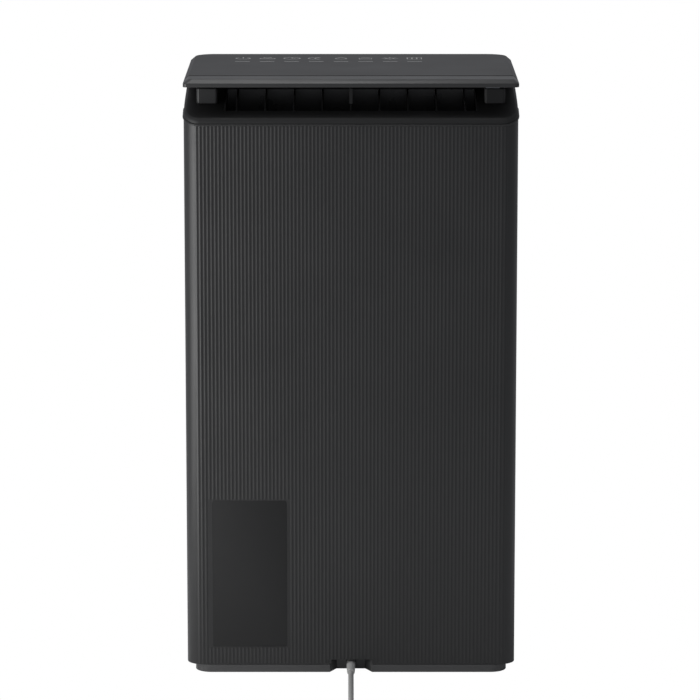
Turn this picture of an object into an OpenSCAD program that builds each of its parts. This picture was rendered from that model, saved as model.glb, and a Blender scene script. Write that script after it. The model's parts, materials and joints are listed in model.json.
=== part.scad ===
/* [Body] */
// Width of the body across its side walls
body_w = 400; // [380:5:420]
// Depth of the body from the ribbed rear face to the front panel
body_d = 280; // [270:5:300]
// Height from the floor to the top of the lid
body_h = 728; // [720:1:740]
// Plan radius of the two rear corners
rear_r = 20; // [16:1:24]
// Plan radius of the two front corners
front_r = 30; // [26:1:36]
// Thickness of the moulded outer walls
wall = 2.5; // [2:0.5:3]
// Gap at every seam between two outer covers
seam = 0.4; // [0.3:0.1:0.6]

/* [Base] */
// Height of the recessed base skirt under the covers
base_h = 10; // [8:1:12]
// How far the base skirt stands in from the side walls
base_inset = 10; // [8:1:12]
// Height of the rubber feet
foot_h = 4; // [3.5:0.5:5]
// Width of the cord notch at the rear face
notch_w = 52; // [46:1:56]
// Width of the cord notch at its inner end
notch_inner_w = 35; // [30:1:38]
// Depth of the cord notch
notch_d = 17; // [15:1:19]
// Height of the cord notch
notch_h = 16; // [14:1:18]

/* [Rear cover] */
// Depth of the rear cover along the side walls
cover_d = 41; // [36:1:60]
// Spacing of the vertical ribs
rib_pitch = 4.5; // [4:0.1:6]
// Height of a rib above the wall
rib_h = 1; // [0.6:0.1:1.5]
// Width of the smooth label field
label_w = 93; // [80:1:100]
// Height of the smooth label field
label_h = 185; // [150:1:200]

/* [Outlet] */
// Height of the upper edge of the rear wall
rim_z = 680.1; // [678:0.1:682]
// Rise of the deck for each millimetre forward
deck_slope = 0.15; // [0.13:0.01:0.16]
// Depth over which the deck curves down to the rear wall
deck_curve_d = 62; // [56:1:68]
// Width of the air outlet in the deck
mouth_w = 304; // [296:1:308]
// Spacing of the fins across the outlet
fin_pitch = 34.2; // [30:0.1:36]

/* [Lid and louver] */
// Thickness of the edge of the lid
lid_edge_h = 9.6; // [9:0.1:10]
// How far the top surface stands in from the edge
lid_bevel = 6; // [5:0.5:7]
// Depth of the louver flap
flap_d = 41.3; // [41:0.1:42]
// Height of the hinge axis below the top surface
hinge_drop = 7; // [6.8:0.1:7.2]

/* [Fan] */
// Outer radius of the impeller
fan_r = 115; // [105:1:116]
// Number of impeller blades
blade_count = 42; // [32:1:48]

/* [Cord] */
// Diameter of the mains lead
cord_d = 6.6; // [6:0.1:7]

/* [Hidden] */
$fn = 64;
rear_y = -body_d/2;
front_y = body_d/2;
wall_y = rear_y + rib_h;               // outer face of the rear wall between its ribs
charcoal = [0.17, 0.17, 0.17];
black = [0.07, 0.07, 0.07];
cream = [0.9, 0.89, 0.84];
lid_z = body_h - lid_edge_h;           // underside of the lid's edge
case_top = lid_z - 0.8;                // top of the case under the lid
mouth_0 = 19;                          // outlet mouth, distances forward of the rear face
mouth_1 = 100;
deck_t = 2.5;
band_h = 6;                            // smooth band of the top frame above the ribs
deck_end = (case_top - deck_z(deck_curve_d))/deck_slope + deck_curve_d;
case_front = 104;                      // front edges of the side panels
panel_back = 116;                      // rear edge of the front panel's rim
hinge_d = 43;                          // hinge axis, distance forward of the rear face
hinge_z = body_h - hinge_drop;
flap_z = hinge_z + 1;                  // underside of the flap's plate
lug_r = 3.4;
pin_r = 1.5;
running = 0.05;                        // radial play of a pin in its bearing
block_x0 = 160;
block_x1 = 185;
block_z = 713;
block_d0 = 36;
block_d1 = 60;
scroll_x = -12;                        // fan axis
scroll_z = 330;
scroll_y0 = -62;
scroll_y1 = 40;
scroll_t = 2.2;
tray_x = 175;
tray_z0 = 36;
tray_z1 = 664;
tray_y0 = 47;
duct_x = 156;
duct_z0 = 600.2;
duct_z1 = 666;
filter_x = 168;
filter_z0 = 44;
filter_z1 = 656;
foot_x = 150;
foot_y = 96;
screw_x = [-165, 165];                 // base screws
screw_y = [-118, 60];
catch_z = [120, 580];                  // catches and hooks of the front panel
catch_h = 30;
bracket_angles = [90, 210, 330];       // arms of the motor bracket
bush_r = 64;                           // distance of the rubber bushes from the fan axis
shaft_r = 4;                           // fan motor's shaft
motor_r = 42;
motor_l = 50.8;
louver_motor_r = 9;
motor_shaft_play = 0.15;               // radial play of the louver motor's shaft in the flap
crossbar_r = 1.3;                      // bars across the outlet fins
crossbar_d = [38, 58, 78];
crossbar_z = 674;
fin_t = 1.6;
tray_wall = 2.5;
duct_wall = 2;
window_w = 160;                        // openings of the prefilter frame
window_h = 144;
window_step = 150.5;
filter_rim = 4;
pleats = 40;
touch_keys = 8;
touch_pitch = 33;
relief_r0 = 5.4;
base_z = 0.6;                          // underside of the base skirt
base_floor = 4;                        // top of the base pan's floor
cord_route = [[0, -147, 5], [0, -154, 4.1], [0, -162, 3.5], [0, -172, 3.4], [0, -190, 3.4], [0, -210, 3.4],
    [0, -230, 3.4], [0, -250, 3.4], [0, -270, 3.4], [0, -290, 3.4], [0, -310, 3.4], [0, -330, 3.4], [0, -350, 3.4],
    [0, -368, 3.4]];
tail_route = [[-40, -340.6, 10.2], [-20, -340, 10.4], [0, -340, 10.6], [12, -340, 10], [22, -340, 8.8], [30, -340, 8]];
coil_x = -49;
coil_y = -386;
coil_r0 = 18.9;
coil_r1 = 52.6;
coil_h = 13.4;
plug_x = 30;
plug_y = -340;
plug_z = 8;

// Height of the outlet deck at a distance forward of the rear face
function deck_z(d) = rim_z + deck_curve_d*deck_curve_d/360 + deck_slope*d
    - pow(max(0, deck_curve_d - d), 2)/360;

// Outline of the body in plan, moved in by a distance
module plan(inset = 0, back = wall_y) {
    w = body_w - 2*inset;
    y0 = back + inset;
    y1 = front_y - inset;
    rr = max(rear_r - inset, 1);
    fr = max(front_r - inset, 1);
    translate([-w/2 + rr, y0]) square([w - 2*rr, rr]);
    translate([-w/2, y0 + rr]) square([w, y1 - y0 - rr - fr]);
    translate([-w/2 + fr, y1 - fr]) square([w - 2*fr, fr]);
    for (s = [-1, 1]) {
        translate([s*(w/2 - rr), y0 + rr]) circle(rr);
        translate([s*(w/2 - fr), y1 - fr]) circle(fr);
    }
}

module ring(z0, z1, t = wall, inset = 0) {
    translate([0, 0, z0]) linear_extrude(z1 - z0) difference() {
        plan(inset);
        plan(inset + t);
    }
}

module prism(z0, z1, inset = 0) {
    translate([0, 0, z0]) linear_extrude(z1 - z0) plan(inset);
}

// Space across the body between two depths forward of the rear face
module between(d0, d1) {
    translate([-body_w, rear_y + d0, -1]) cube([2*body_w, d1 - d0, body_h + 2]);
}

// Extrudes a side-view outline (y, z) across x0..x1
module across(x0, x1) {
    translate([x0, 0, 0]) rotate([90, 0, 90]) linear_extrude(x1 - x0) children();
}

function deck_points(d0, d1, drop, n = 16) =
    [for (i = [0:n]) let (d = d0 + (d1 - d0)*i/n) [rear_y + d, deck_z(d) - drop]];

// Side-view outline under the deck line, from depth d0 to d1 and down to z0
module under_deck(d0, d1, drop, z0, x0 = -body_w, x1 = body_w) {
    across(x0, x1) polygon(concat(deck_points(d0, d1, drop), [[rear_y + d1, z0], [rear_y + d0, z0]]));
}

module notch_plan(grow = 0) {
    polygon([[-notch_w/2 - grow, rear_y - 5], [-notch_w/2 - grow, rear_y], [-notch_inner_w/2 - grow,
        rear_y + notch_d + grow], [notch_inner_w/2 + grow, rear_y + notch_d + grow],
        [notch_w/2 + grow, rear_y], [notch_w/2 + grow, rear_y - 5]]);
}

module base_plan(inset = 0) {
    x = body_w/2 - base_inset - inset;
    y0 = rear_y + 0.6 + inset;
    y1 = front_y - 14 - inset;
    r = rear_r - inset;
    translate([-x + r, y0]) square([2*(x - r), y1 - y0]);
    translate([-x, y0 + r]) square([2*x, y1 - y0 - 2*r]);
    for (s = [-1, 1], y = [y0 + r, y1 - r]) translate([s*(x - r), y]) circle(r);
}

module feet_at(r, z0, h) {
    for (x = [-1, 1], y = [-1, 1]) translate([x*foot_x, y*foot_y, z0]) cylinder(r = r, h = h);
}

module screws_at(x_list, y_list) {
    for (x = x_list, y = y_list) translate([x, y, 0]) children();
}

// Case

module base_pan() {
    color(charcoal) difference() {
        union() {
            translate([0, 0, base_z]) linear_extrude(base_h - base_z) base_plan();
            intersection() {
                prism(base_h, base_h + 3, wall + seam);
                between(0, case_front - rear_y);
            }
            translate([0, 0, base_z]) linear_extrude(notch_h + 1.9) intersection() {
                notch_plan(wall);
                plan(wall + seam);
            }
        }
        translate([0, 0, base_floor]) linear_extrude(base_h) difference() {
            base_plan(wall);
            notch_plan(wall);
        }
        translate([0, 0, -1]) linear_extrude(notch_h + 1) notch_plan();
        feet_at(11.2, 0, base_h);
        screws_at(screw_x, screw_y) cylinder(r = 2.1, h = 20);
        translate([0, rear_y + notch_d + 5, 9]) rotate([90, 0, 0]) cylinder(r = relief_r0 + 0.05, h = 8);
    }
}

module rubber_feet() {
    color(black) difference() {
        feet_at(11, 0, foot_h);
        feet_at(2, -1, 2);
    }
}

module base_screws() {
    color("silver") screws_at(screw_x, screw_y) {
        translate([0, 0, 7.6]) cylinder(r = 3.6, h = 2.3);
        translate([0, 0, 9.9]) cylinder(r = 1.9, h = 12);
    }
}

module rib_outline() {
    w = rib_pitch*0.3;
    polygon([[-w, 0.3], [-w*0.8, -rib_h*0.55], [-w*0.4, -rib_h*0.95], [0, -rib_h], [w*0.4, -rib_h*0.95],
        [w*0.8, -rib_h*0.55], [w, 0.3]]);
}

module rear_cover() {
    z0 = base_h + 0.2;
    z1 = rim_z - band_h;
    label_x0 = -169.6;
    label_z0 = 31.5;
    ribs = floor((body_w/2 - rear_r + 3)/rib_pitch);
    color(charcoal) difference() {
        union() {
            intersection() {
                ring(z0, body_h);
                between(-5, cover_d);
                under_deck(-5, cover_d + 1, band_h + seam/2, -1);
            }
            difference() {
                translate([0, 0, z0]) linear_extrude(z1 - z0)
                    for (i = [-ribs:ribs]) translate([i*rib_pitch, wall_y]) rib_outline();
                translate([label_x0, rear_y - 1, label_z0]) cube([label_w, 1 + rib_h, label_h]);
            }
        }
        translate([0, 0, -1]) linear_extrude(notch_h + 1) notch_plan();
        translate([label_x0 + 0.6, rear_y, label_z0 + 0.6])
            cube([label_w - 1.2, rib_h + 0.5, label_h - 1.2]);
        translate([0, 0, -1]) linear_extrude(notch_h + 2.6) intersection() {
            notch_plan(wall + seam);
            translate([-body_w/2, wall_y + wall]) square([body_w, body_d]);
        }
    }
}

module side_panel(vents) {
    color(charcoal) difference() {
        intersection() {
            union() {
                ring(base_h + 0.2, case_top);
                for (z = [60, 640], s = [-1, 1]) translate([s*(body_w/2 - wall - 4) - 4, -60, z])
                    cube([8, 120, 4]);
            }
            between(cover_d + seam, case_front - rear_y);
            under_deck(0, 400, band_h + seam, -1);
            translate([0, -body_d, 0]) cube([body_w, 2*body_d, body_h]);
        }
        if (vents) for (i = [0:6])
            translate([body_w/2 - wall - 1, 18, 560 + i*6]) cube([wall + 2, 30, 2.6]);
    }
}

module side_panel_right() side_panel(false);

module side_panel_left() mirror([1, 0, 0]) side_panel(true);

module top_frame() {
    color(black) difference() {
        union() {
            difference() {
                intersection() {
                    ring(rim_z - 60, case_top);
                    between(0, case_front - rear_y);
                    under_deck(0, deck_end, 0, 0);
                }
                translate([0, 0, -0.01]) under_deck(-1, deck_end + 5, band_h, 0);
            }
            intersection() {
                prism(rim_z - 60, case_top, 0.6);
                difference() {
                    under_deck(0, deck_end, 0, 0);
                    translate([0, 0, -0.01]) under_deck(-1, deck_end + 1, deck_t, 0);
                }
            }
            difference() {
                intersection() {
                    prism(case_top - deck_t, case_top);
                    between(deck_end - 1, case_front - rear_y);
                }
                intersection() {
                    ring(0, body_h, wall + seam);
                    under_deck(deck_end - 2, 400, band_h, 0);
                }
            }
            // skirt that locates the covers from inside
            difference() {
                intersection() {
                    ring(rim_z - 14, case_top - 1, 2, wall + seam);
                    between(0, case_front - rear_y - 1);
                    under_deck(0, 400, 1, 0);
                }
                under_deck(-1, 401, 14, 0);
            }
        }
        translate([-mouth_w/2, rear_y + mouth_0, 0]) cube([mouth_w, mouth_1 - mouth_0, body_h]);
    }
}

module outlet_grille() {
    x1 = mouth_w/2 - 0.3;
    d0 = mouth_0 + 0.3;
    d1 = mouth_1 - 0.3;
    fins = floor(x1/fin_pitch);
    color(black) {
        for (i = [-fins:fins]) under_deck(d0 + 1, d1 - 1, 0.5, duct_z1 + 0.5, i*fin_pitch - fin_t/2,
            i*fin_pitch + fin_t/2);
        for (s = [-1, 1]) under_deck(d0, d1, 0.3, duct_z1 + 0.5, s*(x1 - 1) - 1, s*(x1 - 1) + 1);
        for (d = [d0, d1 - 2]) translate([-x1, rear_y + d, duct_z1 + 0.5])
            cube([2*x1, 2, deck_z(d) - duct_z1 - 1]);
        for (d = crossbar_d) translate([-x1 + 1, rear_y + d, crossbar_z]) rotate([0, 90, 0])
            cylinder(r = crossbar_r, h = 2*x1 - 2);
    }
}

module duct() {
    t = duct_wall;
    color(black) difference() {
        across(-duct_x, duct_x) polygon([[scroll_y0 - 1, duct_z0], [scroll_y1 + 1, duct_z0],
            [rear_y + mouth_1 + 2, duct_z1], [rear_y + mouth_0 - 4, duct_z1]]);
        across(-duct_x + t, duct_x - t) polygon([[scroll_y0 + t, duct_z0 - 1], [scroll_y1 - t, duct_z0 - 1],
            [rear_y + mouth_1 - 1, duct_z1 + 1], [rear_y + mouth_0 - 1, duct_z1 + 1]]);
        translate([-40, scroll_y1 - 80, duct_z1 - 22]) cube([80, 40, 14]);
    }
}

// Louver hinge

module hinge_ear(x0, x1) {
    translate([x0, rear_y + hinge_d, hinge_z]) rotate([0, 90, 0]) cylinder(r = lug_r, h = x1 - x0);
    translate([x0, rear_y + hinge_d - lug_r, block_z - 1]) cube([x1 - x0, 2*lug_r, hinge_z - block_z + 1]);
}

module hinge_bore(x0, x1, r) {
    translate([x0 - 1, rear_y + hinge_d, hinge_z]) rotate([0, 90, 0]) cylinder(r = r, h = x1 - x0 + 2);
}

module block_body() {
    difference() {
        translate([block_x0, rear_y + block_d0, rim_z])
            cube([block_x1 - block_x0, block_d1 - block_d0, block_z - rim_z]);
        under_deck(0, 100, 0, 0);
        for (x = [block_x0, block_x1]) translate([x, rear_y + block_d0, 0]) rotate([0, 0, 45])
            translate([-1.4, -1.4, 0]) cube([2.8, 2.8, body_h]);
    }
}

module hinge_block_left() {
    color(charcoal) mirror([1, 0, 0]) difference() {
        union() {
            block_body();
            hinge_ear(block_x0, block_x0 + 4);
        }
        hinge_bore(block_x0, block_x0 + 4, pin_r + running);
    }
}

module motor_can(r, x0, x1) {
    translate([x0, rear_y + hinge_d + 5, hinge_z - 8]) rotate([0, 90, 0]) cylinder(r = r, h = x1 - x0);
}

module hinge_block_right() {
    color(charcoal) difference() {
        block_body();
        motor_can(louver_motor_r + 0.3, block_x0 + 1.6, block_x1 + 1);
        translate([block_x0 - 1, rear_y + hinge_d - 3, hinge_z - 12]) cube([4, 12, 20]);
    }
}

module louver_motor() {
    color("silver") {
        motor_can(louver_motor_r, block_x0 + 2, block_x0 + 18);
        translate([block_x0 + 0.4, rear_y + hinge_d, hinge_z]) rotate([0, 90, 0]) cylinder(r = 3.2, h = 6);
        translate([block_x0 - 6, rear_y + hinge_d, hinge_z]) rotate([0, 90, 0])
            cylinder(r = pin_r - motor_shaft_play, h = 7);
    }
}

module centre_strut() {
    color(charcoal) difference() {
        union() {
            translate([-2, rear_y + block_d0, deck_z(block_d0)]) cube([4, 12, block_z - deck_z(block_d0)]);
            under_deck(block_d0, block_d0 + 12, -3, deck_z(block_d0) - 0.4, -2, 2);
            hinge_ear(-2, 2);
        }
        under_deck(0, 100, 0.45, 0);
        hinge_bore(-2, 2, pin_r + running);
    }
}

module lid_plan(inset) {
    x = body_w/2 - inset;
    r0 = 5;
    r1 = front_r - inset;
    translate([-x + r0, rear_y + inset]) square([2*(x - r0), 40]);
    translate([-x, rear_y + inset + r0]) square([2*x, body_d - 2*inset - r0 - r1]);
    translate([-x + r1, 0]) square([2*(x - r1), front_y - inset]);
    for (s = [-1, 1]) {
        translate([s*(x - r0), rear_y + inset + r0]) circle(r0, $fn = 24);
        translate([s*(x - r1), front_y - inset - r1]) circle(r1, $fn = 48);
    }
}

// Outer form of the lid and flap together: a vertical edge and a bevel to the top surface
module lid_form() {
    hull() {
        translate([0, 0, lid_z]) linear_extrude(lid_edge_h - 5) lid_plan(0);
        translate([0, 0, body_h - 0.4]) linear_extrude(0.4) lid_plan(lid_bevel);
    }
}

module lid() {
    color(charcoal) difference() {
        intersection() {
            lid_form();
            between(flap_d + seam, 400);
        }
        translate([0, 0, lid_z - 1]) linear_extrude(lid_edge_h - 1.8) intersection() {
            lid_plan(9);
            translate([-body_w, rear_y + flap_d + seam - 30]) square([2*body_w, body_d]);
        }
        translate([-body_w/2 + 9, rear_y + flap_d - 1, lid_z - 1]) cube([body_w - 18, 40, lid_edge_h - 1.8]);
    }
}

module control_board() {
    color("darkgreen") translate([-165, 84, case_top + 1.2]) cube([270, 34, 1.6]);
}

module touch_electrodes() {
    color("silver") for (i = [0:touch_keys - 1]) translate([-148 + i*touch_pitch, 101, case_top + 2.8]) cylinder(r = 7, h = 4.4);
}

// Fan and air path

function scroll_points(t) = concat(
    [for (a = [70:10:360]) let (r = 124 + 44*(a - 70)/290 + t) [scroll_x + r*cos(a), scroll_z + r*sin(a)]],
    [[scroll_x + 168 + t, 600], [-154 - t, 600]]);

module scroll_solid(y0, y1, t) {
    translate([0, y1, 0]) rotate([90, 0, 0]) linear_extrude(y1 - y0) polygon(scroll_points(t));
}

module at_axis(y0) {
    translate([scroll_x, y0, scroll_z]) rotate([-90, 0, 0]) children();
}

module scroll_half(y0, y1, plate0, plate1, hole_r) {
    difference() {
        scroll_solid(y0, y1, scroll_t);
        difference() {
            translate([0, 0, 0.01]) scroll_solid(y0 - 1, y1 + 1, 0);
            scroll_solid(plate0, plate1, 1);
        }
        translate([-160, y0 - 1, 599.9]) cube([320, y1 - y0 + 2, 5]);
        at_axis(y0 - 1) cylinder(r = hole_r, h = y1 - y0 + 2);
    }
}

module scroll_rear() {
    color(black) scroll_half(scroll_y0, -11, scroll_y0, scroll_y0 + scroll_t, 40);
}

module scroll_front() {
    color(black) {
        scroll_half(-11 + 0.2, scroll_y1, scroll_y1 - scroll_t, scroll_y1, 92);
        at_axis(scroll_y1 - 8) rotate_extrude() polygon([[92, 8], [92, 0], [90, 0], [88.5, 3], [88, 8]]);
    }
}

module inlet_grille() {
    color(black) at_axis(scroll_y1 + 0.2) {
        for (r = [18, 36, 54, 72, 91]) rotate_extrude()
            translate([r, 0]) square([r == 91 ? 5 : 1.8, 3]);
        for (a = [0:45:135]) rotate([0, 0, a]) translate([-94, -1, 0.6]) cube([188, 2, 1.8]);
    }
}

module filter_tray() {
    t = tray_wall;
    color(charcoal) difference() {
        union() {
            translate([-tray_x, tray_y0, tray_z0]) cube([2*tray_x, case_front - tray_y0, tray_z1 - tray_z0]);
            intersection() {
                translate([-body_w/2, case_front - 4, base_h + 4]) cube([body_w, 3, case_top - base_h - 8]);
                prism(0, body_h, wall + seam);
            }
        }
        translate([-tray_x + t, tray_y0 + t, tray_z0 + t])
            cube([2*(tray_x - t), body_d, tray_z1 - tray_z0 - 2*t]);
        at_axis(tray_y0 - 1) cylinder(r = 98, h = 10);
    }
}

module motor_bracket() {
    color("silver") difference() {
        at_axis(scroll_y0 - 5.2) union() {
            cylinder(r = 52, h = 2);
            for (a = bracket_angles) rotate([0, 0, a]) translate([0, -9, 0]) cube([74, 18, 2]);
        }
        at_axis(scroll_y0 - 6) {
            cylinder(r = 14, h = 5);
            for (a = bracket_angles) rotate([0, 0, a]) translate([bush_r, 0, 0]) cylinder(r = 5, h = 5);
        }
    }
}

module motor_bushes() {
    color(black) at_axis(scroll_y0 - 8) for (a = bracket_angles) rotate([0, 0, a]) translate([bush_r, 0, 0])
        difference() {
            union() {
                cylinder(r = 7.5, h = 2.7);
                cylinder(r = 4.9, h = 7.6);
            }
            translate([0, 0, -1]) cylinder(r = 2, h = 12);
        }
}

module fan_motor() {
    color("silver") difference() {
        at_axis(scroll_y0 - 57) union() {
            cylinder(r = motor_r, h = motor_l);
            translate([0, 0, 48]) cylinder(r = 13.8, h = 6);
            translate([0, 0, 20]) cylinder(r = motor_r + 5, h = 12);
        }
        at_axis(scroll_y0 - 58) cylinder(r = shaft_r + running, h = 62);
    }
}

module motor_shaft() {
    color("silver") at_axis(scroll_y0 - 55) cylinder(r = shaft_r, h = 85);
}

module blade() {
    inner = fan_r - 18;
    polygon([for (k = [0:4]) let (r = inner + 4*k, a = 0.9*k*k) [r*cos(a), r*sin(a)],
        for (k = [4:-1:0]) let (r = inner + 4*k, a = 0.9*k*k + 0.7) [r*cos(a), r*sin(a)]]);
}

module impeller() {
    color([0.3, 0.3, 0.32]) at_axis(scroll_y0 + 6) difference() {
        union() {
            cylinder(r = fan_r, h = 2.4);
            cylinder(r = 16, h = 24);
            for (i = [0:blade_count - 1]) rotate([0, 0, i*360/blade_count])
                translate([0, 0, 2]) linear_extrude(80) blade();
            translate([0, 0, 79]) difference() {
                cylinder(r = fan_r + 1, h = 5);
                translate([0, 0, -1]) cylinder(r = fan_r - 9, h = 8);
            }
        }
        translate([0, 0, -1]) cylinder(r = shaft_r, h = 40);
    }
}

module hub_nut() {
    color("silver") at_axis(scroll_y0 + 30.05) difference() {
        cylinder(r = 7, h = 6, $fn = 6);
        translate([0, 0, -1]) cylinder(r = shaft_r, h = 10);
    }
}

module ioniser() {
    color(cream) {
        translate([-39.8, scroll_y1 - 79, duct_z1 - 21.8]) cube([79.6, 34, 13.6]);
        for (x = [-20, 20]) translate([x, scroll_y1 - 80, duct_z1 - 15]) rotate([90, 0, 0])
            cylinder(r = 0.8, h = 9);
    }
}

module electronics_box() {
    color(cream) difference() {
        translate([-150, -128, 24]) cube([110, 40, 90]);
        translate([-148, -126, 26]) cube([106, 60, 86]);
    }
}

module main_board() {
    color("darkgreen") {
        translate([-146, -120, 28]) cube([102, 1.6, 82]);
        for (c = [[-138, 36, 22, 16], [-108, 40, 30, 24], [-70, 34, 18, 12]])
            translate([c[0], -118.4, c[1]]) cube([c[2], c[3], c[2]]);
    }
}

module dust_sensor() {
    color(black) difference() {
        translate([-body_w/2 + wall + 0.4, 14, 556]) cube([16, 38, 44]);
        translate([-body_w/2, 20, 562]) cube([9, 26, 32]);
    }
}

module panel_catches() {
    color("silver") for (x = [-1, 1], z = catch_z)
        translate([x*185 - 6, case_front - 0.9, z]) cube([12, 4, catch_h]);
}

// Front panel and filters

module front_panel() {
    z0 = base_h + 2;
    z1 = lid_z - 2.4;
    color(charcoal) difference() {
        intersection() {
            prism(z0, z1);
            between(panel_back - rear_y, 400);
        }
        intersection() {
            prism(z0 + 3, z1 - 3, 3);
            between(0, body_d - 3.01);
        }
        between(0, panel_back - rear_y - 1);
    }
}

module panel_hooks() {
    color(black) for (x = [-1, 1], z = catch_z) {
        intersection() {
            translate([x*182 - 4, case_front + 3.5, z + 2]) cube([8, front_y - case_front, catch_h - 4]);
            prism(0, body_h, 3);
        }
    }
}

// Eight openings, or what fills them, from y0 and t deep
module prefilter_windows(y0, t) {
    for (x = [-window_w - filter_rim, filter_rim], z = [0:3])
        translate([x, y0, filter_z0 + 2*filter_rim + z*window_step]) cube([window_w, t, window_h]);
}

module prefilter_frame() {
    color(black) difference() {
        translate([-filter_x, 97, filter_z0]) cube([2*filter_x, 6, filter_z1 - filter_z0]);
        prefilter_windows(96, 8);
    }
}

module prefilter_mesh() {
    color("gray") prefilter_windows(99.6, 0.8);
}

module filter_frame() {
    color(cream) difference() {
        translate([-filter_x, 56, filter_z0]) cube([2*filter_x, 39, filter_z1 - filter_z0]);
        translate([-filter_x + filter_rim, 50, filter_z0 + filter_rim])
            cube([2*(filter_x - filter_rim), 60, filter_z1 - filter_z0 - 2*filter_rim]);
    }
}

module hepa_pleats() {
    x1 = filter_x - filter_rim - 0.2;
    n = pleats;
    step = 2*x1/n;
    color("white") translate([0, 0, filter_z0 + 4.2]) linear_extrude(filter_z1 - filter_z0 - 8.4) polygon(concat(
        [for (i = [0:n]) [-x1 + i*step, i % 2 == 0 ? 62 : 94]],
        [for (i = [n:-1:0]) [-x1 + i*step, i % 2 == 0 ? 57 : 89]]));
}

module carbon_filter() {
    color(black) translate([-filter_x, 50, filter_z0]) cube([2*filter_x, 5.8, filter_z1 - filter_z0]);
}

module filter_pull_tabs() {
    color("white") for (x = [-1, 1]) translate([x*90 - 15, 95.1, filter_z1 - 40]) cube([30, 1, 38]);
}

// Louver

module flap_lug(x0, x1) {
    translate([x0, rear_y + hinge_d, hinge_z]) rotate([0, 90, 0]) cylinder(r = lug_r, h = x1 - x0);
    translate([x0, rear_y + flap_d - 4, hinge_z - 2.6]) cube([x1 - x0, hinge_d - flap_d + 4, 4.8]);
}

module louver_flap() {
    inner = body_w/2 - 4;
    lugs = [[-block_x0 + 0.4, -block_x0 + 7], [-8.4, -2.4], [2.4, 8.4], [block_x0 - 7, block_x0 - 0.4]];
    color(charcoal) difference() {
        union() {
            difference() {
                intersection() {
                    lid_form();
                    between(-5, flap_d);
                }
                translate([-inner, rear_y + 4, lid_z - 1]) cube([2*inner, flap_d, flap_z - lid_z + 1]);
                // slopes the skirt's ends, so that they pass the lid's edge as the flap turns
                across(-body_w, body_w) polygon([[rear_y + flap_d - 3.4, lid_z - 0.1], [rear_y + flap_d + 1, lid_z - 0.1],
                    [rear_y + flap_d + 1, hinge_z + 0.4], [rear_y + flap_d, hinge_z + 0.4]]);
                for (x = [[-block_x0 - 4.4, -block_x0 + 0.4], [-2.4, 2.4], [block_x0 - 0.4, block_x1]])
                    translate([x[0], rear_y + hinge_d - lug_r - 1.1, lid_z]) cube([x[1] - x[0], 10, 6.2]);
            }
            for (l = lugs) flap_lug(l[0], l[1]);
        }
        for (l = lugs) hinge_bore(l[0], l[1], pin_r);
    }
}

module hinge_pin(x0, x1) {
    color("silver") translate([x0, rear_y + hinge_d, hinge_z]) rotate([0, 90, 0]) cylinder(r = pin_r, h = x1 - x0);
}

module hinge_pin_left() hinge_pin(-block_x0 - 4.6, -block_x0 + 6.8);

module hinge_pin_centre() hinge_pin(-8.2, 8.2);

// Mains lead

function unit(v) = v/norm(v);

function route_direction(p, i) = unit(p[min(i + 1, len(p) - 1)] - p[max(i - 1, 0)]);

module sweep(route, r, sides = 10) {
    rings = [for (i = [0:len(route) - 1])
        let (t = route_direction(route, i), u = unit(cross(t, abs(t[2]) < 0.9 ? [0, 0, 1] : [1, 0, 0])), v = cross(t, u))
        for (k = [0:sides - 1]) route[i] + r*(u*cos(360*k/sides) + v*sin(360*k/sides))];
    last = (len(route) - 1)*sides;
    polyhedron(rings, concat(
        [[for (k = [0:sides - 1]) k]],
        [for (i = [0:len(route) - 2], k = [0:sides - 1])
            [i*sides + k, (i + 1)*sides + k, (i + 1)*sides + (k + 1) % sides, i*sides + (k + 1) % sides]],
        [[for (k = [sides - 1:-1:0]) last + k]]));
}

module strain_relief() {
    start = [0, rear_y + notch_d + 5, 9];
    tip = cord_route[0];
    run = start - tip;
    color([0.4, 0.4, 0.4]) difference() {
        union() {
            translate(tip) rotate([-90 + atan2(run[2], run[1]), 0, 0])
                cylinder(r1 = cord_d/2 + 0.9, r2 = relief_r0, h = norm(run) - 6);
            translate([0, start[1] + 6, start[2]]) rotate([90, 0, 0]) cylinder(r = relief_r0, h = 11);
            translate([0, start[1] + 6, start[2]]) rotate([90, 0, 0]) cylinder(r = relief_r0 + 2, h = 5);
        }
        translate([-20, start[1], 0]) cube([40, 20, base_floor + 0.05]);
    }
}

module power_cord() {
    color([0.4, 0.4, 0.4]) sweep(cord_route, cord_d/2);
}

module cord_coil() {
    color([0.4, 0.4, 0.4]) translate([coil_x, coil_y, 0]) rotate_extrude()
        translate([coil_r0, 0.1]) square([coil_r1 - coil_r0, coil_h]);
}

module cord_tail() {
    color([0.4, 0.4, 0.4]) sweep(tail_route, cord_d/2);
}

module cord_tie() {
    x0 = coil_x - 6;
    y0 = coil_y - coil_r1 - 1.2;
    y1 = coil_y - coil_r0 + 1.2;
    color(black) difference() {
        translate([x0, y0, 0.1]) cube([12, y1 - y0, coil_h + 1.2]);
        translate([x0 - 1, y0 + 0.8, -1]) cube([14, y1 - y0 - 1.6, coil_h + 1.2]);
    }
}

module plug() {
    color([0.35, 0.35, 0.35]) translate([plug_x, plug_y, plug_z]) {
        rotate([0, 90, 0]) cylinder(r1 = cord_d/2 + 0.4, r2 = 5.2, h = 26);
        translate([24, -8, -6]) cube([6, 16, 12]);
        translate([28, -11.5, -7.5]) cube([24, 23, 15]);
    }
}

module plug_blades() {
    color("gold") for (y = [-1, 1]) translate([plug_x + 52, plug_y + y*6.35 - 0.75, plug_z - 3.2]) cube([17, 1.5, 6.4]);
}

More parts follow.
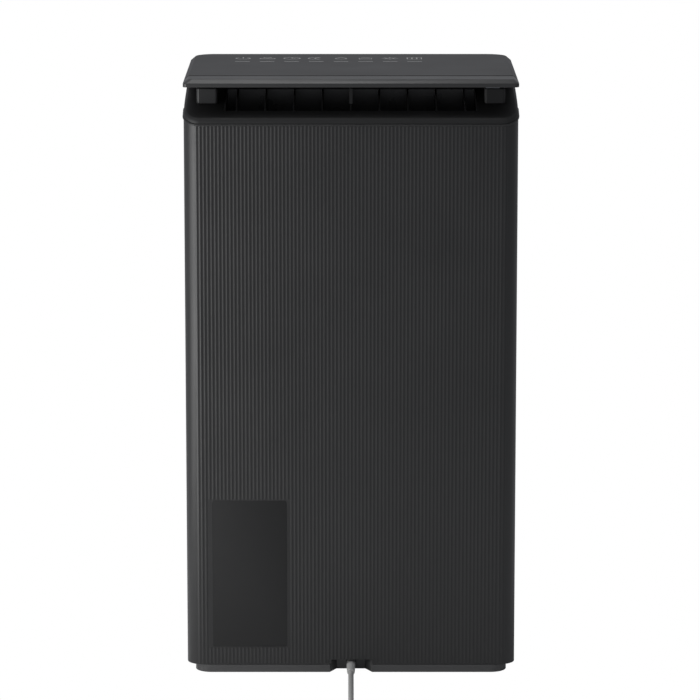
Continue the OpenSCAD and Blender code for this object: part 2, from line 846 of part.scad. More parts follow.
base_pan();
rubber_feet();
base_screws();
rear_cover();
side_panel_left();
side_panel_right();
top_frame();
outlet_grille();
duct();
hinge_block_left();
hinge_block_right();
centre_strut();
louver_motor();
lid();
control_board();
touch_electrodes();
scroll_rear();
scroll_front();
inlet_grille();
filter_tray();
motor_bracket();
motor_bushes();
fan_motor();
ioniser();
electronics_box();
main_board();
dust_sensor();
panel_catches();
strain_relief();
power_cord();
cord_coil();
cord_tail();
cord_tie();
plug();
plug_blades();
louver_flap();
hinge_pin_left();
hinge_pin_centre();
impeller();
motor_shaft();
hub_nut();
front_panel();
panel_hooks();
prefilter_frame();
prefilter_mesh();
filter_frame();
hepa_pleats();
carbon_filter();
filter_pull_tabs();
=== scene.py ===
"""The looks of a box-shaped room air purifier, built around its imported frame.

Lengths are written in millimetres and turned to metres by MM. The ribbed rear of the body faces -Y.
"""

import json
import math

import bmesh
import bpy
from mathutils import Matrix, Vector


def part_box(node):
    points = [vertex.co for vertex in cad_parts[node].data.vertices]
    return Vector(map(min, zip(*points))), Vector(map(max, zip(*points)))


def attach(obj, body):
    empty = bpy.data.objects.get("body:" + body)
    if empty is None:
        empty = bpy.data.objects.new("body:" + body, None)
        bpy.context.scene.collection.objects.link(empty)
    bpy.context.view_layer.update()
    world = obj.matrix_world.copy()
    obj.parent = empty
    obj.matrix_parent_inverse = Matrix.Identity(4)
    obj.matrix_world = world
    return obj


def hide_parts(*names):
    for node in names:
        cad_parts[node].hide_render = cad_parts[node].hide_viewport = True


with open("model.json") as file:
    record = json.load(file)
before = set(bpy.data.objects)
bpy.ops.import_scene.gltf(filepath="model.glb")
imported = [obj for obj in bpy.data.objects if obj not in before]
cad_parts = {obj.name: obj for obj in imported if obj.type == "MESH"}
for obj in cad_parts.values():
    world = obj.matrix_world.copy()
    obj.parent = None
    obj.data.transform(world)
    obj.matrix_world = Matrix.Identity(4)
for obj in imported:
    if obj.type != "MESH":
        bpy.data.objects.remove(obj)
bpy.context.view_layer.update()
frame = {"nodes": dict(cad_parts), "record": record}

MM = 0.001

# Body, in mm, as in the frame
HALF_W = 200
REAR_Y = -140
TOP_Z = 728
REAR_R = 20
BASE_H = 10
SEAM = 0.4

# Outlet deck: height and slope of its straight part, and how deep and how round the curve behind it is
DECK_Z = 690.78
DECK_SLOPE = 0.15
DECK_CURVE_D = 62
DECK_CURVE_R = 180

# Rear cover: how far forward it reaches, its wall, the band of the top frame above it, and the cord notch
COVER_D = 41
WALL = 2.5
CORNER_STEPS = 14
WALL_Y = REAR_Y + 1.0  # the frame's ribs stand 1 mm proud of the wall
BAND_H = 6
NOTCH_HALF_W = 26
NOTCH_H = 16

# Ribs, sunk a little into the wall so that no gap shows
RIB_PITCH = 4.5
RIB_HALF_W = 1.9
RIB_CREST = 0.42
RIB_ROOT = 0.3
RIB_COUNT = 41

# Field of the rating label: left, right, low, high
LABEL = (-169.6, -76.6, 31.5, 216.5)
LABEL_MARGIN = 1.2

# Mains lead, from its strain relief to the coil, and from the coil to the plug
CORD_D = 6.6
CORD_ROUTE = [(0, -147, 5), (0, -154, 4.1), (0, -162, 3.5)] + [(0, y, 3.4) for y in range(-172, -377, -12)]
TAIL_ROUTE = [
    (-40, -340.5, 10.1),
    (-20, -340.2, 10.4),
    (0, -340, 10.6),
    (12, -340, 10),
    (22, -340, 8.8),
    (32, -340, 8),
]
BOOT_TIP = (0, -156.5, 5.0)
BOOT_ROOT = (0, -112, 9.4)
PLUG_AT = (30, -340, 8)
BLADE_APART = 12.7
COIL_CENTRE = (-49, -386)
COIL_OUTER = 49
TURN_STEP = 6.67
TURNS_BELOW = 4
TURNS_CLIMBING = 0.25
TURNS_ALL = 7.75
LAYER_Z = (3.4, 9.9)
POINTS_A_TURN = 28
TIE_INNER = 17.6

# Touch marks on the lid: place of the first mark and of its bar, and the line's width and height
MARK_X0 = -134
MARK_STEP = 30.4
MARK_Y = 84
MARK_SCALE = 1.25
MARK_LINE = 1.5
MARK_BAR_Y = 50
MARK_BAR = (18, 2.6)
INK_SUNK = 0.02
INK_H = 0.07


def deck_z(d):
    """Height of the outlet deck, a slope that curves down to the rear, at a distance from the rear face."""
    drop = max(0.0, DECK_CURVE_D - d) ** 2 / (2 * DECK_CURVE_R)
    return DECK_Z + DECK_SLOPE * d - drop


# Camera -----------------------------------------------------------------------------------------------------

CAMERA_X = -1.15
CAMERA_AWAY = 4600
CAMERA_Z = 1270
CAMERA_TILT = 10.695


def make_camera():
    """A long lens from above the lid's level, tilted down, so that the tall sides stay nearly upright."""
    data = bpy.data.cameras.new("camera")
    data.sensor_width = 36
    data.lens = 200.2
    data.clip_end = 20
    camera = bpy.data.objects.new("camera", data)
    camera.location = (CAMERA_X * MM, (REAR_Y - CAMERA_AWAY) * MM, CAMERA_Z * MM)
    camera.rotation_euler = (math.radians(90 - CAMERA_TILT), 0, 0)
    bpy.context.scene.collection.objects.link(camera)
    bpy.context.scene.camera = camera


# Materials --------------------------------------------------------------------------------------------------

# Places of the colour sockets on a Mix node, whose names are shared by its number and vector sockets
COLOUR_A, COLOUR_B, COLOUR_OUT = 6, 7, 2


def srgb(code):
    """A hex colour such as "#2a2a2a" as the linear colour that a shader takes."""
    parts = [int(code[i : i + 2], 16) / 255 for i in (1, 3, 5)]
    return [p / 12.92 if p <= 0.04045 else ((p + 0.055) / 1.055) ** 2.4 for p in parts] + [1.0]


def add_node(tree, kind, values=None, links=None, **settings):
    """Adds a shader node, sets its properties and inputs, and links (node, output) pairs into it."""
    node = tree.nodes.new("ShaderNode" + kind)
    for name, value in settings.items():
        setattr(node, name, value)
    for socket, value in (values or {}).items():
        node.inputs[socket].default_value = value
    for socket, (source, output) in (links or {}).items():
        tree.links.new(source.outputs[output], node.inputs[socket])
    return node


def finish(
    name,
    colour,
    roughness,
    grain=0.4,
    relief=0.006,
    cloud=70.0,
    swing=0.05,
    shade=0.1,
    metallic=0.0,
    stretch=(1, 1, 1),
):
    """A moulded or rolled surface.

    It has a grain of that size and relief, in mm, and clouds of that size across which its roughness drifts
    by swing and its colour by shade. A mould's real grain is about 0.1 mm, too fine to show, so it is drawn
    a few times coarser. The grain is squeezed along each axis by stretch.
    """
    material = bpy.data.materials.new(name)
    material.use_nodes = True
    tree = material.node_tree
    tree.nodes.clear()
    place = add_node(tree, "TexCoord")
    warp = add_node(tree, "Mapping", {"Scale": stretch}, {"Vector": (place, "Object")})
    fine_scale, wide_scale = 1 / (grain * MM), 1 / (cloud * MM)
    fine = add_node(tree, "TexNoise", {"Scale": fine_scale, "Detail": 3.0}, {"Vector": (warp, "Vector")})
    wide = add_node(tree, "TexNoise", {"Scale": wide_scale, "Detail": 4.0}, {"Vector": (place, "Object")})
    spread = {"From Min": 0.3, "From Max": 0.7, "To Min": roughness - swing, "To Max": roughness + swing}
    polish = add_node(tree, "MapRange", spread, {"Value": (wide, "Fac")})
    dark, light = ([c * (1 + s) for c in srgb(colour)[:3]] + [1.0] for s in (-shade, shade))
    tone = add_node(tree, "Mix", {COLOUR_A: dark, COLOUR_B: light}, {0: (wide, "Fac")}, data_type="RGBA")
    bump = add_node(tree, "Bump", {"Strength": 0.6, "Distance": relief * MM}, {"Height": (fine, "Fac")})
    shader = add_node(
        tree,
        "BsdfPrincipled",
        {"Metallic": metallic},
        {"Roughness": (polish, "Result"), "Base Color": (tone, COLOUR_OUT), "Normal": (bump, "Normal")},
    )
    add_node(tree, "OutputMaterial", links={"Surface": (shader, "BSDF")})
    return material


# Building helpers -------------------------------------------------------------------------------------------

BODY_OF = {node: body for body, nodes in frame["record"]["behaviour"]["bodies"].items() for node in nodes}
SLOT_OF = {part["node"]: part["material_slot"] for part in frame["record"]["subparts"]}
# Points of a CAD node that are nearer than this, in mm, are one
WELD = 0.002


def new_piece(name, bm, material, like, stands_for=(), sharp=30):
    """Makes a finished piece from a mesh, in the given material. It rides with the CAD node like.

    Edges that turn more than sharp, in degrees, stay crisp.
    """
    bmesh.ops.recalc_face_normals(bm, faces=bm.faces)
    for face in bm.faces:
        face.smooth = True
    for edge in bm.edges:
        edge.smooth = len(edge.link_faces) == 2 and edge.calc_face_angle() < math.radians(sharp)
    mesh = bpy.data.meshes.new(name)
    bm.to_mesh(mesh)
    bm.free()
    mesh.materials.append(material)
    obj = bpy.data.objects.new(name, mesh)
    bpy.context.scene.collection.objects.link(obj)
    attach(obj, BODY_OF[like])
    if stands_for:
        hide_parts(*stands_for)
    return obj


def on_rim(point):
    """Whether a point lies where the outlet deck meets the outer wall, to a few tenths of a millimetre."""
    x, y, z = point / MM
    corner_x, corner_y = max(abs(x) - HALF_W + REAR_R, 0), max(WALL_Y + REAR_R - y, 0)
    outward = math.hypot(corner_x, corner_y) if corner_x and corner_y else max(corner_x, corner_y)
    return abs(z - deck_z(y - REAR_Y)) < 0.3 and abs(outward - REAR_R) < 0.1


def eased(node, width, material, rim=0.0, step=0.0):
    """A copy of a CAD node with its edges rounded, as a mould leaves them, in the node's place.

    The rim between the deck and the outer wall takes a rounding of its own, and step sets down the top
    surface.
    """
    bm = bmesh.new()
    bm.from_mesh(frame["nodes"][node].data)
    bmesh.ops.remove_doubles(bm, verts=bm.verts, dist=WELD * MM)
    for vert in bm.verts:
        if vert.co.z > (TOP_Z - 1) * MM:
            vert.co.z -= step * MM
    if rim:
        edges = [e for e in bm.edges if all(on_rim(v.co) for v in e.verts) and e.calc_face_angle(0) > 0.5]
        offset = rim * MM
        bmesh.ops.bevel(bm, geom=edges, offset=offset, affect="EDGES", segments=6, profile=0.5, material=-1)
    obj = new_piece(node + "_moulding", bm, material, node, [node])
    bevel = obj.modifiers.new("eased edges", "BEVEL")
    bevel.affect = "EDGES"
    bevel.limit_method = "ANGLE"
    bevel.angle_limit = math.radians(35)
    bevel.width = width * MM
    bevel.segments = 3
    bevel.profile = 0.5
    bevel.material = -1
    bevel.use_clamp_overlap = False


def loft(bm, rings):
    """A solid drawn out from ring to ring of points, in mm: its end is extruded into each next ring."""
    end = bm.faces.new([bm.verts.new(Vector(point) * MM) for point in rings[0]])
    for ring in rings[1:]:
        drawn = bmesh.ops.extrude_face_region(bm, geom=[end, *end.edges])["geom"]
        end = next(part for part in drawn if isinstance(part, bmesh.types.BMFace))
        for vert, point in zip(end.verts, ring):
            vert.co = Vector(point) * MM


def turned(bm, start, end, profile, sides=28):
    """A round piece on the line from start to end, spun from a profile of (distance along, radius)."""
    start, end = Vector(start), Vector(end)
    along = (end - start).normalized()
    out = along.cross(Vector((1, 0, 0)) if abs(along.x) < 0.9 else Vector((0, 0, 1))).normalized()
    verts = [bm.verts.new((start + along * s + out * r) * MM) for s, r in profile]
    edges = [bm.edges.new(pair) for pair in zip(verts, verts[1:])]
    bmesh.ops.spin(
        bm, geom=verts + edges, cent=start * MM, axis=along, angle=2 * math.pi, steps=sides, use_merge=True
    )
    bmesh.ops.holes_fill(bm, edges=[edge for edge in bm.edges if edge.is_boundary], sides=sides)


def add_block(bm, centre, size):
    """A block, in mm."""
    place = Matrix.Translation(Vector(centre) * MM) @ Matrix.Diagonal((*(Vector(size) * MM), 1))
    bmesh.ops.create_cube(bm, size=1, matrix=place)


def rounded_box(x, y, half_w, half_h, r, steps=5):
    """Outline of a rectangle with round corners, as (across, up) points."""
    points = []
    for cx, cy, first in ((1, 1, 0), (-1, 1, 90), (-1, -1, 180), (1, -1, 270)):
        for i in range(steps + 1):
            a = math.radians(first + 90 * i / steps)
            across = x + cx * (half_w - r) + r * math.cos(a)
            points.append((across, y + cy * (half_h - r) + r * math.sin(a)))
    return points


# Mains lead -------------------------------------------------------------------------------------------------


def coil_points():
    """Turns wound clockwise inwards on the floor, then outwards on top of them, each beside the last."""
    points = []
    inner = COIL_OUTER - TURNS_BELOW * TURN_STEP
    for i in range(round(TURNS_ALL * POINTS_A_TURN) + 1):
        turn = i / POINTS_A_TURN
        above = max(0.0, turn - TURNS_BELOW)
        share = min(1.0, above / TURNS_CLIMBING)
        rise = share * share * (3 - 2 * share)
        if above:
            radius = inner + max(0.0, above - TURNS_CLIMBING) * TURN_STEP
        else:
            radius = COIL_OUTER - turn * TURN_STEP
        angle = -2 * math.pi * turn
        height = LAYER_Z[0] + rise * (LAYER_Z[1] - LAYER_Z[0])
        x, y = COIL_CENTRE
        points.append((x + radius * math.cos(angle), y + radius * math.sin(angle), height))
    return points


def make_lead(jacket):
    """The lead at its real length: along the floor, round the coil and on to the plug beside it."""
    data = bpy.data.curves.new("mains_lead", "CURVE")
    data.dimensions = "3D"
    data.bevel_depth = CORD_D / 2 * MM
    data.bevel_resolution = 4
    data.use_fill_caps = True
    spline = data.splines.new("POLY")
    points = CORD_ROUTE + coil_points() + TAIL_ROUTE
    spline.points.add(len(points) - 1)
    for point, place in zip(spline.points, points):
        point.co = (*(c * MM for c in place), 1)
    spline.use_smooth = True
    data.materials.append(jacket)
    lead = bpy.data.objects.new("mains_lead", data)
    bpy.context.scene.collection.objects.link(lead)
    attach(lead, BODY_OF["power_cord"])
    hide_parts("power_cord", "cord_coil", "cord_tail")
    return lead


def flex_grooves(count, first, pitch, radius, taper, depth, width, lift):
    """Profile of grooves round a slight cone, each with sloped sides and a far edge a little wider."""
    profile = []
    for groove in range(count):
        s = first + groove * pitch
        r = radius + s * taper
        profile += [(s, r), (s + 0.3, r - depth), (s + width - 0.3, r - depth), (s + width, r + lift)]
    return profile


def make_strain_relief(jacket):
    """A tapered boot with flex grooves, and the collar that the base pan clamps."""
    bm = bmesh.new()
    tip = [(0, 0.3), (0, 3.8), (0.5, 4.4), (2.2, 4.7)]
    collar = [(28, 5.35), (44, 5.35), (44.3, 5.0), (44.3, 0.3)]
    grooves = flex_grooves(6, first=3.4, pitch=3.8, radius=4.75, taper=0.025, depth=0.7, width=1.7, lift=0.03)
    turned(bm, BOOT_TIP, BOOT_ROOT, tip + grooves + collar)
    return new_piece("strain_relief_boot", bm, jacket, "strain_relief", ["strain_relief"])


def make_plug(jacket, brass):
    """Overmoulded two-pin plug: ribbed sleeve, waisted body, and blades with a stud near each end."""
    x, y, z = PLUG_AT
    bm = bmesh.new()
    tip = [(0, 0.3), (0, 3.6), (0.4, 3.9)]
    root = [(21, 5.2), (27, 5.6), (27, 0.3)]
    grooves = flex_grooves(4, first=3, pitch=4.2, radius=4.0, taper=0.06, depth=0.6, width=1.8, lift=0.1)
    turned(bm, PLUG_AT, (x + 27, y, z), tip + grooves + root)
    sleeve = new_piece("plug_sleeve", bm, jacket, "plug")

    bm = bmesh.new()
    # distance along, half width, half height and corner radius of each section
    sections = [
        (24, 6.0, 5.0, 3.0),
        (24.4, 6.8, 5.7, 3.4),
        (27, 8.6, 6.6, 3.6),
        (31, 10.2, 7.2, 3.6),
        (37, 9.6, 7.1, 3.4),
        (43, 9.8, 7.2, 3.2),
        (47, 11.0, 7.4, 3.0),
        (50.5, 11.4, 7.5, 2.6),
        (51.6, 11.1, 7.2, 2.4),
        (52, 10.4, 6.5, 2.2),
    ]
    loft(bm, [[(x + s, a, b) for a, b in rounded_box(y, z, w, h, r)] for s, w, h, r in sections])
    plug_body = new_piece("plug_body", bm, jacket, "plug", ["plug"])

    bm = bmesh.new()
    # distance along, half height and half thickness of each section of a blade
    sections = [(51, 3.2, 0.75), (66, 3.2, 0.75), (68, 3.0, 0.6), (68.8, 2.5, 0.35)]
    stud_x, stud_half_w = x + 63, 0.8
    stud = [(0, 1.3), (0, 1.6), (2 * stud_half_w, 1.6), (2 * stud_half_w, 1.3)]
    for blade_y in (y - BLADE_APART / 2, y + BLADE_APART / 2):
        loft(bm, [[(x + s, a, b) for a, b in rounded_box(blade_y, z, t, h, 0.25, 2)] for s, h, t in sections])
        turned(bm, (stud_x, blade_y - stud_half_w, z), (stud_x, blade_y + stud_half_w, z), stud, 16)
    blades = new_piece("plug_blade_pair", bm, brass, "plug_blades", ["plug_blades"])
    return sleeve, plug_body, blades


def make_tie(nylon):
    """A flat strap round the coil's turns on the side away from the body, with its ratchet head."""
    strap_w, strap_t = 4.8, 0.9
    mid_z, half_h = 7.0, 6.9
    head_w, head_d, head_low, head_h = 7.2, 6.4, 13.3, 1.4
    cx, cy = COIL_CENTRE
    # the strap's loop reaches from inside the innermost turn to just past the outermost one
    inner, outer = cy - TIE_INNER, cy - COIL_OUTER - CORD_D / 2 - strap_t
    mid, half = (inner + outer) / 2, (inner - outer) / 2
    bm = bmesh.new()
    outlines = [
        rounded_box(mid, mid_z, half, half_h, 3.0),
        rounded_box(mid, mid_z, half - strap_t, half_h - strap_t, 2.3),
    ]
    rims = []
    for outline in outlines:
        verts = [bm.verts.new(Vector((cx - strap_w / 2, a, b)) * MM) for a, b in outline]
        rims += [bm.edges.new(pair) for pair in zip(verts, verts[1:] + verts[:1])]
    side = bmesh.ops.bridge_loops(bm, edges=rims)["faces"]
    drawn = bmesh.ops.extrude_face_region(bm, geom=side)["geom"]
    moved = [part for part in drawn if isinstance(part, bmesh.types.BMVert)]
    bmesh.ops.translate(bm, verts=moved, vec=(strap_w * MM, 0, 0))
    head = rounded_box(cx, outer + head_d / 2 + 0.3, head_w / 2, head_d / 2, 0.6, 2)
    loft(bm, [[(a, b, z) for a, b in head] for z in (head_low, head_low + head_h)])
    return new_piece("cord_tie_strap", bm, nylon, "cord_tie", ["cord_tie"])


# Rear cover -------------------------------------------------------------------------------------------------


def rear_outline():
    """Outer wall from the left seam round the rear to the right seam, as (x, y, outward x, outward y)."""
    left = [(-HALF_W, REAR_Y + COVER_D, -1, 0)]
    for i in range(CORNER_STEPS + 1):
        a = math.radians(180 + 90 * i / CORNER_STEPS)
        nx, ny = math.cos(a), math.sin(a)
        left.append((-HALF_W + REAR_R * (1 + nx), WALL_Y + REAR_R * (1 + ny), nx, ny))
    # two stops on the flat, and two where the lower rim steps up over the notch
    left += [(x, WALL_Y, 0, -1) for x in (-120, -60, -NOTCH_HALF_W - 0.05, -NOTCH_HALF_W)]
    return left + [(-x, y, -nx, ny) for x, y, nx, ny in reversed(left)]


def wall_y(x):
    """Where the outer wall stands at a distance across, on the flat rear and round its corners."""
    past = max(0.0, abs(x) - HALF_W + REAR_R)
    return WALL_Y + REAR_R - math.sqrt(REAR_R**2 - past**2)


def add_rib(bm, x, low, high):
    """A rib with a rounded crest that fades out at both ends."""
    rings = []
    for from_end, size in ((0, 0.5), (0.5, 0.85), (1.2, 1.0)):
        ring = [(a, wall_y(a) + RIB_ROOT) for a in (x - RIB_HALF_W, x + RIB_HALF_W)]
        for k in range(9):
            across = 1 - k / 4
            crest = RIB_CREST * size * math.cos(math.pi / 2 * across) ** 2
            ring.append((x + RIB_HALF_W * across, wall_y(x + RIB_HALF_W * across) - crest))
        rings.append((from_end, ring))
    lower = [[(a, b, low + from_end) for a, b in ring] for from_end, ring in rings]
    upper = [[(a, b, high - from_end) for a, b in ring] for from_end, ring in reversed(rings)]
    loft(bm, lower + upper)


def make_rear_cover(plastic):
    """The wall with eased rims, a bead under the seam and the cord notch, and a rib on it every RIB_PITCH."""
    bm = bmesh.new()
    rings = []
    for x, y, nx, ny in rear_outline():
        low = NOTCH_H if abs(x) <= NOTCH_HALF_W else BASE_H + 0.2
        high = deck_z(y - REAR_Y) - BAND_H - SEAM / 2
        rim = [(WALL, low), (0.5, low), (0.15, low + 0.15), (0, low + 0.5)]
        bead = [(0, high - 2.6), (-0.9, high - 2.2), (-1.2, high - 1.8), (-1.2, high - 1.35), (0, high - 0.1)]
        section = rim + bead + [(WALL, high)]
        rings.append([(x - nx * inward, y - ny * inward, z) for inward, z in section])
    loft(bm, rings)
    low, high = BASE_H + 0.7, deck_z(0) - BAND_H - 1.2
    for i in range(-RIB_COUNT, RIB_COUNT + 1):
        x = i * RIB_PITCH
        spans = [(low, high)]
        if LABEL[0] - RIB_HALF_W < x < LABEL[1] + RIB_HALF_W:
            spans = [(low, LABEL[2]), (LABEL[3], high)]
        elif abs(x) < NOTCH_HALF_W + RIB_HALF_W:
            spans = [(NOTCH_H + 0.6, high)]
        for span in spans:
            add_rib(bm, x, *span)
    new_piece("rear_cover_wall", bm, plastic, "rear_cover", ["rear_cover"], sharp=50)


def make_label(film):
    """The blank rating label in its smooth field."""
    x0, x1, z0, z1 = LABEL
    half_w, half_h = (x1 - x0) / 2 - LABEL_MARGIN, (z1 - z0) / 2 - LABEL_MARGIN
    bm = bmesh.new()
    rings = []
    for out, inset in ((-0.1, 0), (0.12, 0), (0.2, 0.12)):
        outline = rounded_box((x0 + x1) / 2, (z0 + z1) / 2, half_w - inset, half_h - inset, 3)
        rings.append([(a, WALL_Y - out, b) for a, b in outline])
    loft(bm, rings)
    new_piece("rating_label_blank", bm, film, "rear_cover")


# Filters and lid marks --------------------------------------------------------------------------------------


def make_net(strand):
    """Crossed strands over the openings of the prefilter frame, the upright ones behind the level ones.

    The real net has several strands to a centimetre, and is drawn as coarse as it needs to show.
    """
    pitch, strand_w, strand_t, apart = 6.0, 0.6, 0.4, 0.1
    bm = bmesh.new()
    low, high = (Vector(corner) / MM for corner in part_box("prefilter_mesh"))
    mid, size = (low + high) / 2, high - low
    columns, rows = round(size.x / pitch), round(size.z / pitch)
    for i in range(1, columns):
        add_block(bm, (low.x + size.x * i / columns, mid.y - apart, mid.z), (strand_w, strand_t, size.z))
    for i in range(1, rows):
        add_block(bm, (mid.x, mid.y + apart, low.z + size.z * i / rows), (size.x, strand_t, strand_w))
    new_piece("prefilter_net", bm, strand, "prefilter_mesh", ["prefilter_mesh"])


def arc(cx, cy, r, first, last, steps=20):
    """Points of an arc, with its angles in degrees."""
    angles = [math.radians(first + (last - first) * i / steps) for i in range(steps + 1)]
    return [(cx + r * math.cos(a), cy + r * math.sin(a)) for a in angles]


def outline_of(x0, y0, x1, y1):
    """Corners of a rectangle, back to the first."""
    return [(x0, y0), (x1, y0), (x1, y1), (x0, y1), (x0, y0)]


# Directions of the eight rays of the light mark
RAYS = arc(0, 0, 1, 0, 315, 7)

# Strokes of the eight generic touch marks
MARKS = {
    "power": [arc(0, 0, 7, 125, 415), [(0, 1), (0, 9)]],
    "speed": [arc(0, 4.4, 3.6, -90, 250), arc(3.8, -2.2, 3.6, -210, 130), arc(-3.8, -2.2, 3.6, 30, 370)],
    "timer": [arc(0, 0, 8, 0, 360, 28), [(0, 5), (0, 0), (3.6, -2.4)]],
    "night": [arc(0, 0, 8, 60, 300) + arc(5.6, 0, 7.1, 256, 104)],
    "drop": [[(0, 9), (-4.2, 1.5)] + arc(0, -2, 5.4, 150, 390) + [(4.2, 1.5), (0, 9)]],
    "lock": [outline_of(-6, -7, 6, 1.5), arc(0, 1.5, 4.2, 0, 180)],
    "light": [arc(0, 0, 3.8, 0, 360)] + [[(5.6 * x, 5.6 * y), (8.4 * x, 8.4 * y)] for x, y in RAYS],
    "filter": [outline_of(-7, -7, 7, 7), [(-2.4, -7), (-2.4, 7)], [(2.4, -7), (2.4, 7)]],
}


def stroke(bm, points, width):
    """A flat printed line through points on the lid, with mitred corners."""
    low, high = TOP_Z - INK_SUNK, TOP_Z - INK_SUNK + INK_H
    rings = []
    for i, (x, y) in enumerate(points):
        before, after = points[max(i - 1, 0)], points[min(i + 1, len(points) - 1)]
        direction = Vector((after[0] - before[0], after[1] - before[1])).normalized()
        nx, ny = -direction.y * width / 2, direction.x * width / 2
        left, right = (x + nx, y + ny), (x - nx, y - ny)
        rings.append([(*left, low), (*right, low), (*right, high), (*left, high)])
    loft(bm, rings)


def make_touch_marks(ink):
    """The row of touch marks, with a short bar under each."""
    bm = bmesh.new()
    for k, strokes in enumerate(MARKS.values()):
        x = MARK_X0 + k * MARK_STEP
        for points in strokes:
            stroke(bm, [(x + a * MARK_SCALE, MARK_Y + b * MARK_SCALE) for a, b in points], MARK_LINE)
        stroke(bm, [(x - MARK_BAR[0] / 2, MARK_BAR_Y), (x + MARK_BAR[0] / 2, MARK_BAR_Y)], MARK_BAR[1])
    new_piece("touch_marks", bm, ink, "lid")


# Surroundings -----------------------------------------------------------------------------------------------

WORLD_LEFT, WORLD_RIGHT = 0.46, 0.27
FLOOR_SIDE = 8000
FLOOR_T = 6


def make_world():
    """White behind the object; its light falls mostly from the left."""
    world = bpy.data.worlds.new("studio")
    bpy.context.scene.world = world
    world.use_nodes = True
    tree = world.node_tree
    tree.nodes.clear()
    place = add_node(tree, "TexCoord")
    split = add_node(tree, "SeparateXYZ", links={"Vector": (place, "Generated")})
    spread = {"From Min": -1.0, "From Max": 1.0, "To Min": WORLD_LEFT, "To Max": WORLD_RIGHT}
    side = add_node(tree, "MapRange", spread, {"Value": (split, "X")})
    lit = add_node(tree, "Background", {"Color": srgb("#f7f9ff")}, {"Strength": (side, "Result")})
    shown = add_node(tree, "Background", {"Color": [1, 1, 1, 1], "Strength": 1.0})
    rays = add_node(tree, "LightPath")
    sources = {0: (rays, "Is Camera Ray"), 1: (lit, "Background"), 2: (shown, "Background")}
    mix = add_node(tree, "MixShader", links=sources)
    add_node(tree, "OutputWorld", links={"Surface": (mix, "Shader")})


def add_light(name, place, aim, size, power):
    """A rectangular soft light, unseen by the camera. Places and size are in metres."""
    data = bpy.data.lights.new(name, "AREA")
    data.shape = "RECTANGLE"
    data.size, data.size_y = size
    data.energy = power
    light = bpy.data.objects.new(name, data)
    light.location = place
    light.rotation_euler = (Vector(aim) - Vector(place)).to_track_quat("-Z", "Y").to_euler()
    light.visible_camera = False
    bpy.context.scene.collection.objects.link(light)


def make_floor(material):
    """White paper under the feet. The camera doesn't see it, and only the light that it reflects shows."""
    bm = bmesh.new()
    add_block(bm, (0, 0, -FLOOR_T / 2), (FLOOR_SIDE, FLOOR_SIDE, FLOOR_T))
    mesh = bpy.data.meshes.new("floor")
    bm.to_mesh(mesh)
    bm.free()
    mesh.materials.append(material)
    floor = bpy.data.objects.new("floor", mesh)
    floor.visible_camera = False
    bpy.context.scene.collection.objects.link(floor)


# Assembly ---------------------------------------------------------------------------------------------------

# How a grain is squeezed along each axis: by rolling, by brushing, and along upright fibres
ROLLED = (1, 6, 1)
BRUSHED = (8, 1, 1)
FIBRES = (1, 1, 0.3)

# Satin charcoal ABS: a spark-eroded grain softens the glints along every rib and edge
charcoal_abs = finish("satin charcoal ABS", "#252525", 0.38, grain=0.45, relief=0.010, cloud=90, swing=0.04)
# Fine satin charcoal ABS of the louver flap: a shade paler than the lid, so that the seam line tells
flap_abs = finish("fine satin charcoal ABS", "#303030", 0.36, grain=0.45, relief=0.008, cloud=90, swing=0.03)
# Silk charcoal ABS of the lid: a rougher mould face spreads the sky's reflection over the flat top
lid_abs = finish("silk charcoal ABS", "#232323", 0.47, grain=0.6, relief=0.010, cloud=110, swing=0.03)
# Smooth charcoal ABS of the base: its colour is painted paler than the body's, a painted reflection of the
# white floor under it
base_abs_painted_floor_light = finish("smooth charcoal ABS", "#454545", 0.32, grain=1.5, relief=0.003, cloud=90, swing=0.03)
# Matte black ABS: swallows light inside the outlet, so that the opening reads as deep; on the right hinge
# block it is painted shade
black_abs_and_painted_shade = finish("matte black ABS", "#141414", 0.55, grain=0.5, relief=0.012, cloud=60, swing=0.06)
# Semi-gloss black ABS of the outlet fins: their gloss catches a thin line of light along the rear edges, and
# their colour is painted paler than the black interior as a painted highlight
fin_abs_painted_light = finish("semi-gloss black ABS", "#303030", 0.3, grain=0.9, relief=0.004, cloud=40)
# Black EPDM rubber: dull and faintly mottled, unlike the plastics
rubber = finish("black EPDM rubber", "#191919", 0.75, grain=0.8, relief=0.02, cloud=30, swing=0.08, shade=0.2)
# Zinc-plated steel: crisp bright glints with a fine rolled direction
zinc = finish(
    "zinc-plated steel", "#b9bcc0", 0.3, grain=0.3, relief=0.002, cloud=20, metallic=1.0, stretch=ROLLED
)
# Galvanised motor steel: broad dull spangle
motor_steel = finish(
    "galvanised motor steel",
    "#9a9da1",
    0.42,
    grain=2.5,
    relief=0.004,
    cloud=8,
    swing=0.12,
    shade=0.15,
    metallic=1.0,
)
# Cream ABS of the filter frame: the one warm pale tone inside
cream_abs = finish("cream ABS", "#e2dcc8", 0.48, grain=0.5, relief=0.008, cloud=80)
# FR4 board under solder mask: glossy green
solder_mask = finish("green solder mask on FR4", "#1d5a32", 0.28, grain=1.2, relief=0.006, cloud=15)
# Grey PVC jacket: soft sheen along the lead, paler than the body
grey_pvc = finish("grey PVC jacket", "#a8a8a6", 0.45, grain=0.6, relief=0.010, cloud=25)
# Nylon strap of the cord tie: slightly glossier black
nylon_black = finish("black nylon strap", "#1c1c1d", 0.38, grain=0.7, relief=0.012, cloud=12)
# Nickel-plated brass: warm bright blades
nickel_brass = finish(
    "nickel-plated brass", "#c9c0a6", 0.22, grain=0.4, relief=0.001, cloud=6, metallic=1.0, stretch=BRUSHED
)
# Grey nylon net of the prefilter: dull, so that the pleats show through it
nylon_net = finish("grey nylon net", "#55585a", 0.6, grain=0.5, relief=0.02, cloud=40)
# Meltblown filter paper: fibrous and chalky, it catches no glint
filter_paper = finish(
    "meltblown filter paper", "#e8e8e2", 0.9, grain=0.9, relief=0.06, cloud=25, shade=0.06, stretch=FIBRES
)
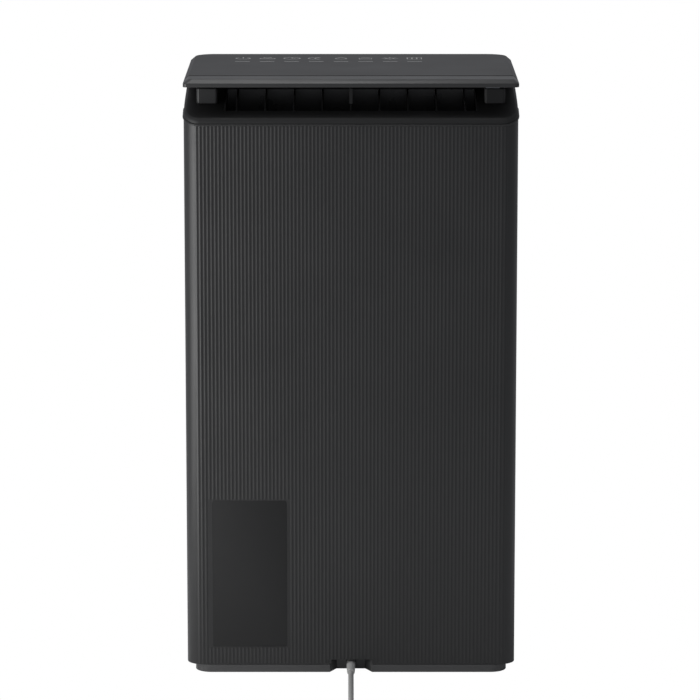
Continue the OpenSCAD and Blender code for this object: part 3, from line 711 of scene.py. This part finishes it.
# Activated carbon granules: coarse black grit
carbon = finish(
    "activated carbon granules", "#121212", 0.85, grain=1.8, relief=0.6, cloud=10, swing=0.08, shade=0.3
)
# Matt polyester label film: flatter and a little darker than the ABS round it
label_film = finish(
    "matt charcoal polyester film", "#111111", 0.66, grain=0.3, relief=0.002, cloud=50, swing=0.02, shade=0.04
)
# Pale grey screen-printing ink: a thin film that stays lighter than the lid
ink = finish("pale grey screen ink", "#b4b4b1", 0.5, grain=0.3, relief=0.002, cloud=9, swing=0.03)
# White paper that bounces light up to the base
paper = finish("white backdrop paper", "#f2f2f2", 0.9, grain=1.0, relief=0.01, cloud=500, shade=0.01)

MATERIAL_OF = {
    "case": charcoal_abs,
    "inner_black": black_abs_and_painted_shade,
    "rubber": rubber,
    "zinc_steel": zinc,
    "motor_shell": motor_steel,
    "cream_plastic": cream_abs,
    "circuit_board": solder_mask,
    "cord_jacket": grey_pvc,
    "tie": nylon_black,
    "plated_brass": nickel_brass,
    "mesh": nylon_net,
    "filter_media": filter_paper,
    "carbon": carbon,
}
# Finishes of some parts of their own, and colours painted paler or darker on others to stand in for light and
# shade
FINISH_AND_PAINTED_LIGHT_OF = {
    # the base pan wears a colour painted paler for the floor's reflected light
    "base_pan": base_abs_painted_floor_light,
    # the outlet fins wear a colour painted paler as a highlight
    "outlet_grille": fin_abs_painted_light,
    "louver_flap": flap_abs,
    "lid": lid_abs,
    # the right hinge block is the same moulding as the left, painted black as the shade away from the light
    "hinge_block_right": black_abs_and_painted_shade,
    "centre_strut": black_abs_and_painted_shade,
}

# Width of the rounded edge, in mm, on each moulding that the eye reaches
EDGE_OF = {
    "base_pan": 0.5,
    "side_panel_left": 0.35,
    "side_panel_right": 0.35,
    "top_frame": 0.5,
    "outlet_grille": 0.5,
    "hinge_block_left": 1.1,
    "hinge_block_right": 1.1,
    "centre_strut": 0.4,
    "lid": 0.35,
    "louver_flap": 0.5,
    "front_panel": 0.6,
    "rubber_feet": 0.6,
    "filter_frame": 0.6,
    "prefilter_frame": 0.5,
}
RIM_OF = {"top_frame": 4.0}
STEP_OF = {"louver_flap": 0.5}

for name, node in frame["nodes"].items():
    node.data.materials.clear()
    node.data.materials.append(MATERIAL_OF[SLOT_OF[name]])

make_camera()
lead = make_lead(grey_pvc)
boot = make_strain_relief(grey_pvc)
sleeve, plug_body, blades = make_plug(grey_pvc, nickel_brass)
tie = make_tie(nylon_black)

make_rear_cover(charcoal_abs)
make_label(label_film)
make_touch_marks(ink)
make_net(nylon_net)
for name, width in EDGE_OF.items():
    material = FINISH_AND_PAINTED_LIGHT_OF.get(name, MATERIAL_OF[SLOT_OF[name]])
    eased(name, width, material, rim=RIM_OF.get(name, 0), step=STEP_OF.get(name, 0))

make_world()
make_floor(paper)
add_light("key from the left", (-0.66, -0.62, 0.46), (-0.05, -0.14, 0.38), (0.22, 0.86), 2.9)
add_light("corner", (-0.59, -0.31, 0.37), (-0.19, -0.13, 0.37), (0.24, 0.7), 1.1)
add_light("top", (-0.2, -0.06, 2.3), (0, -0.1, 0.7), (1.4, 0.6), 7.5)
bpy.context.scene.view_settings.view_transform = "Standard"
